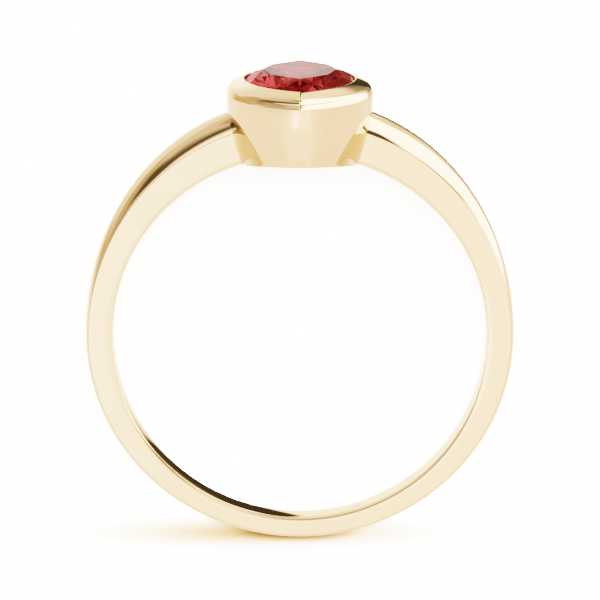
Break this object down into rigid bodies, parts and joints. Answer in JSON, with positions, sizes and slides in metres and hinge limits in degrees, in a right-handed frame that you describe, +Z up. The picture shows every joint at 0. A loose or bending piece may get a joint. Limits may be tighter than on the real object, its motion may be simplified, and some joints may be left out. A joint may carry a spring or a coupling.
{
  "type": "gemstone ring",
  "caption": "Gold finger ring lying on its side: a tapering domed band with a marquise-cut red stone in a raised bezel over an open back.",
  "frame": {"origin": "centre of the finger hole, half way between the band's two faces", "axes": "+Z up from the surface the ring lies on, +Y from the hole towards the stone, +X across the band"},
  "size_m": [0.0198, 0.0223, 0.0099],
  "materials": {
    "gold": "mirror polished yellow gold",
    "red_gem": "polished facets, clear red"
  },
  "bodies": {
    "root": {"band_and_bezel": "gold", "stone": "red_gem"}
  },
  "joints": []
}
